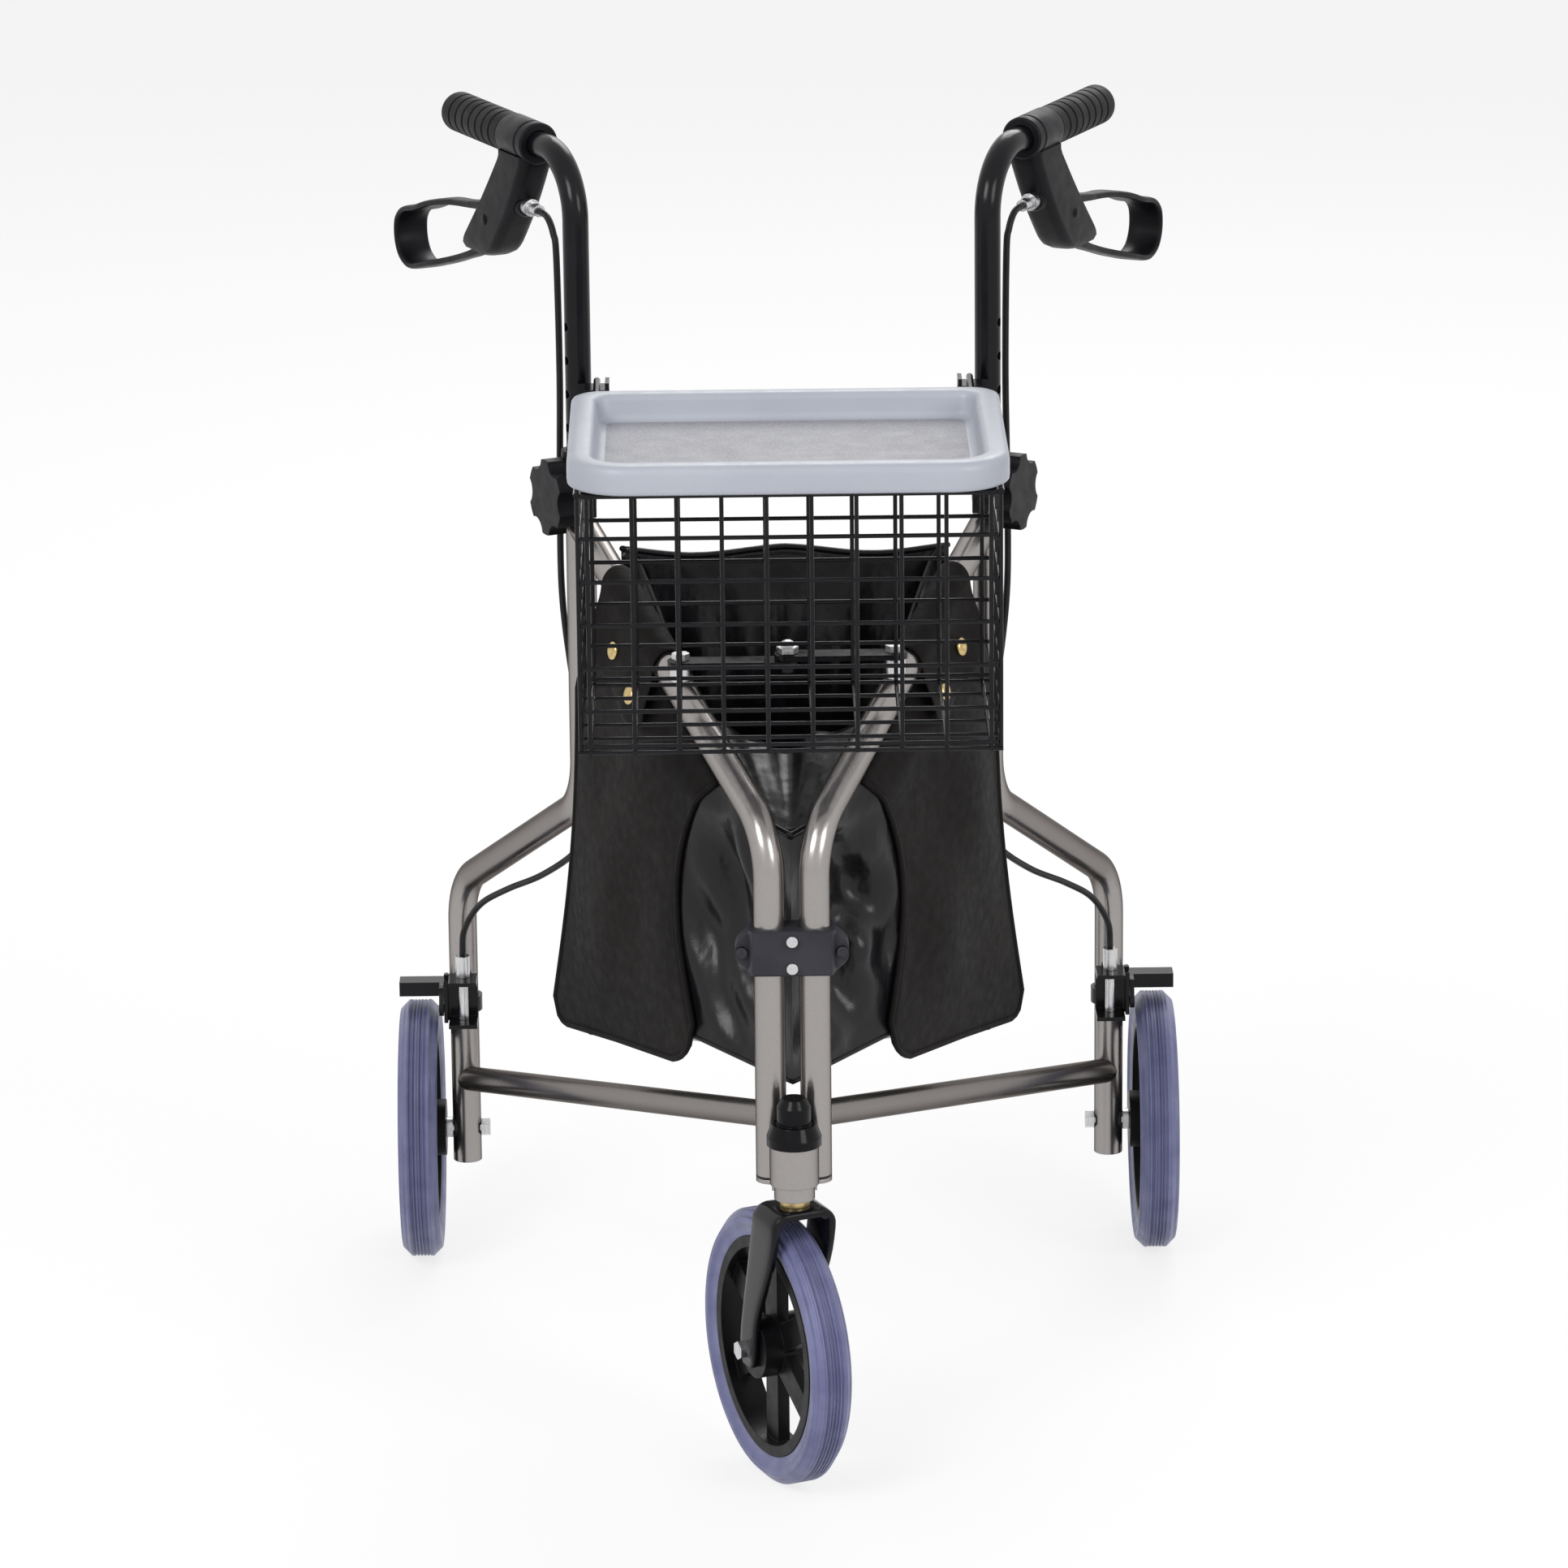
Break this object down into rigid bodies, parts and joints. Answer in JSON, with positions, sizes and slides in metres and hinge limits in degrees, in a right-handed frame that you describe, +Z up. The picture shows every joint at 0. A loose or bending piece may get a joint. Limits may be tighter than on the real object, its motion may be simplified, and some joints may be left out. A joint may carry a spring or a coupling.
{
  "type": "three wheel rollator",
  "caption": "Folding walking frame on castor and rear wheels, with height-set handles, loop brakes, wire basket, lift-off tray and vinyl bag.",
  "frame": {"origin": "on the floor, under the middle of the part's box", "axes": "+Z up, +X to the part's left-hand side as seen from its front, +Y from the castor to the rear wheels"},
  "size_m": [0.6004, 0.6994, 0.9235],
  "materials": {
    "champagne": "metallic lacquer",
    "black_metal": "gloss lacquer",
    "black_plastic": "fine grain",
    "steel": "bright zinc",
    "brass": "plain",
    "tyre": "slate blue grey",
    "rim": "moulded",
    "grip": "ribbed",
    "cable": "plain",
    "tray": "moulded",
    "bag": "gloss vinyl",
    "bush": "plain"
  },
  "bodies": {
    "spine": {"head_tube": "champagne", "head_bushes": "bush", "head_cap": "black_plastic", "hinge_clamp_front": "black_plastic", "hinge_clamp_back": "black_plastic", "hinge_clamp_bolts": "steel", "shopping_bag": "bag"},
    "fork": {"castor_fork": "black_metal", "stem_washer": "brass", "front_axle": "steel"},
    "front_wheel": {"front_tyre": "tyre", "front_rim": "rim"},
    "left_frame": {"left_front_tube": "champagne", "left_rear_tube": "champagne", "left_lower_brace": "champagne", "left_pivot_bush": "bush", "left_post_sleeve": "black_plastic", "left_basket_bracket": "black_metal", "left_axle": "steel", "left_brake_bracket": "black_metal", "left_cable_barrel": "steel", "left_cable": "cable", "left_brace_pins": "steel"},
    "left_wheel": {"left_tyre": "tyre", "left_rim": "rim"},
    "left_brake_arm": {"left_brake_arm": "black_metal"},
    "left_brace": {"left_brace_bar": "black_metal"},
    "left_handle": {"left_handle_tube": "black_metal", "left_grip": "grip", "left_brake_body": "black_plastic", "left_cable_adjuster": "steel"},
    "left_lever": {"left_brake_lever": "black_plastic"},
    "left_knob": {"left_knob": "black_plastic"},
    "right_frame": {"right_front_tube": "champagne", "right_rear_tube": "champagne", "right_lower_brace": "champagne", "right_pivot_bush": "bush", "right_post_sleeve": "black_plastic", "right_basket_bracket": "black_metal", "right_axle": "steel", "right_brake_bracket": "black_metal", "right_cable_barrel": "steel", "right_cable": "cable", "right_brace_pins": "steel"},
    "right_wheel": {"right_tyre": "tyre", "right_rim": "rim"},
    "right_brake_arm": {"right_brake_arm": "black_metal"},
    "right_brace": {"right_brace_bar": "black_metal"},
    "right_handle": {"right_handle_tube": "black_metal", "right_grip": "grip", "right_brake_body": "black_plastic", "right_cable_adjuster": "steel"},
    "right_lever": {"right_brake_lever": "black_plastic"},
    "right_knob": {"right_knob": "black_plastic"},
    "basket": {"basket_front": "black_metal", "basket_back": "black_metal", "basket_sides": "black_metal", "basket_floor": "black_metal", "basket_arms": "black_metal"},
    "tray": {"tray": "tray"}
  },
  "joints": [
    {"name": "castor_swivel", "type": "hinge", "parent": "spine", "child": "fork", "pos_m": [0, -0.26967, 0.22], "axis": [0, 0, 1], "continuous": true},
    {"name": "front_wheel_spin", "type": "hinge", "parent": "fork", "child": "front_wheel", "pos_m": [-0.01302, -0.24043, 0.1], "axis": [0.9135, 0.4067, 0], "continuous": true},
    {"name": "left_fold", "type": "hinge", "parent": "spine", "child": "left_frame", "pos_m": [-0.016, -0.24572, 0.3], "axis": [0, 0, -1], "range_deg": [0, 20], "deforming": ["shopping_bag"]},
    {"name": "left_brace_hinge", "type": "hinge", "parent": "left_frame", "child": "left_brace", "pos_m": [-0.07626, -0.11824, 0.57], "axis": [0, 0, -1], "range_deg": [0, 47.8]},
    {"name": "left_wheel_spin", "type": "hinge", "parent": "left_frame", "child": "left_wheel", "pos_m": [-0.28519, 0.24972, 0.1], "axis": [1, 0, 0], "continuous": true},
    {"name": "left_handle_slide", "type": "slide", "parent": "left_frame", "child": "left_handle", "axis": [0, 0, 1], "range_m": [-0.125, 0.025], "deforming": ["left_cable"]},
    {"name": "left_lever_squeeze", "type": "hinge", "parent": "left_handle", "child": "left_lever", "pos_m": [-0.20699, 0.15833, 0.84], "axis": [0.9041, 0.4274, 0], "range_deg": [0, 12], "stiffness_Nm_per_rad": 1, "springref_deg": -2.86},
    {"name": "left_brake_press", "type": "hinge", "parent": "left_frame", "child": "left_brake_arm", "pos_m": [-0.26519, 0.23172, 0.203], "axis": [-1, 0, 0], "range_deg": [0, 16.1]},
    {"name": "left_knob_turn", "type": "hinge", "parent": "left_frame", "child": "left_knob", "pos_m": [-0.14891, 0.03545, 0.66], "axis": [-0.9041, -0.4274, 0], "continuous": true},
    {"name": "right_fold", "type": "hinge", "parent": "spine", "child": "right_frame", "pos_m": [0.016, -0.24572, 0.3], "axis": [0, 0, 1], "range_deg": [0, 20.1]},
    {"name": "right_brace_hinge", "type": "hinge", "parent": "right_frame", "child": "right_brace", "pos_m": [0.07626, -0.11824, 0.57], "axis": [0, 0, 1], "range_deg": [0, 47.8]},
    {"name": "right_wheel_spin", "type": "hinge", "parent": "right_frame", "child": "right_wheel", "pos_m": [0.28519, 0.24972, 0.1], "axis": [1, 0, 0], "continuous": true},
    {"name": "right_handle_slide", "type": "slide", "parent": "right_frame", "child": "right_handle", "axis": [0, 0, 1], "range_m": [-0.125, 0.025], "deforming": ["right_cable"]},
    {"name": "right_lever_squeeze", "type": "hinge", "parent": "right_handle", "child": "right_lever", "pos_m": [0.20699, 0.15833, 0.84], "axis": [0.9041, -0.4274, 0], "range_deg": [0, 12], "stiffness_Nm_per_rad": 1, "springref_deg": -2.86},
    {"name": "right_brake_press", "type": "hinge", "parent": "right_frame", "child": "right_brake_arm", "pos_m": [0.26519, 0.23172, 0.203], "axis": [-1, 0, 0], "range_deg": [0, 16.1]},
    {"name": "right_knob_turn", "type": "hinge", "parent": "right_frame", "child": "right_knob", "pos_m": [0.14891, 0.03545, 0.66], "axis": [0.9041, -0.4274, 0], "continuous": true},
    {"name": "basket_lift", "type": "slide", "parent": "spine", "child": "basket", "axis": [0, 0, 1], "range_m": [0, 0.2]},
    {"name": "tray_lift", "type": "slide", "parent": "basket", "child": "tray", "axis": [0, 0, 1], "range_m": [0, 0.1]}
  ],
  "couplings": [
    {"joint": "right_fold", "follows": "left_fold", "ratio": 1},
    {"joint": "left_brace_hinge", "follows": "left_fold", "ratio": 2.3814},
    {"joint": "right_brace_hinge", "follows": "left_fold", "ratio": 2.3814},
    {"joint": "basket_lift", "follows": "left_fold", "m_per_rad": 0.5729},
    {"joint": "left_brake_press", "follows": "left_lever_squeeze", "ratio": 1.3333},
    {"joint": "right_brake_press", "follows": "right_lever_squeeze", "ratio": 1.3333}
  ]
}
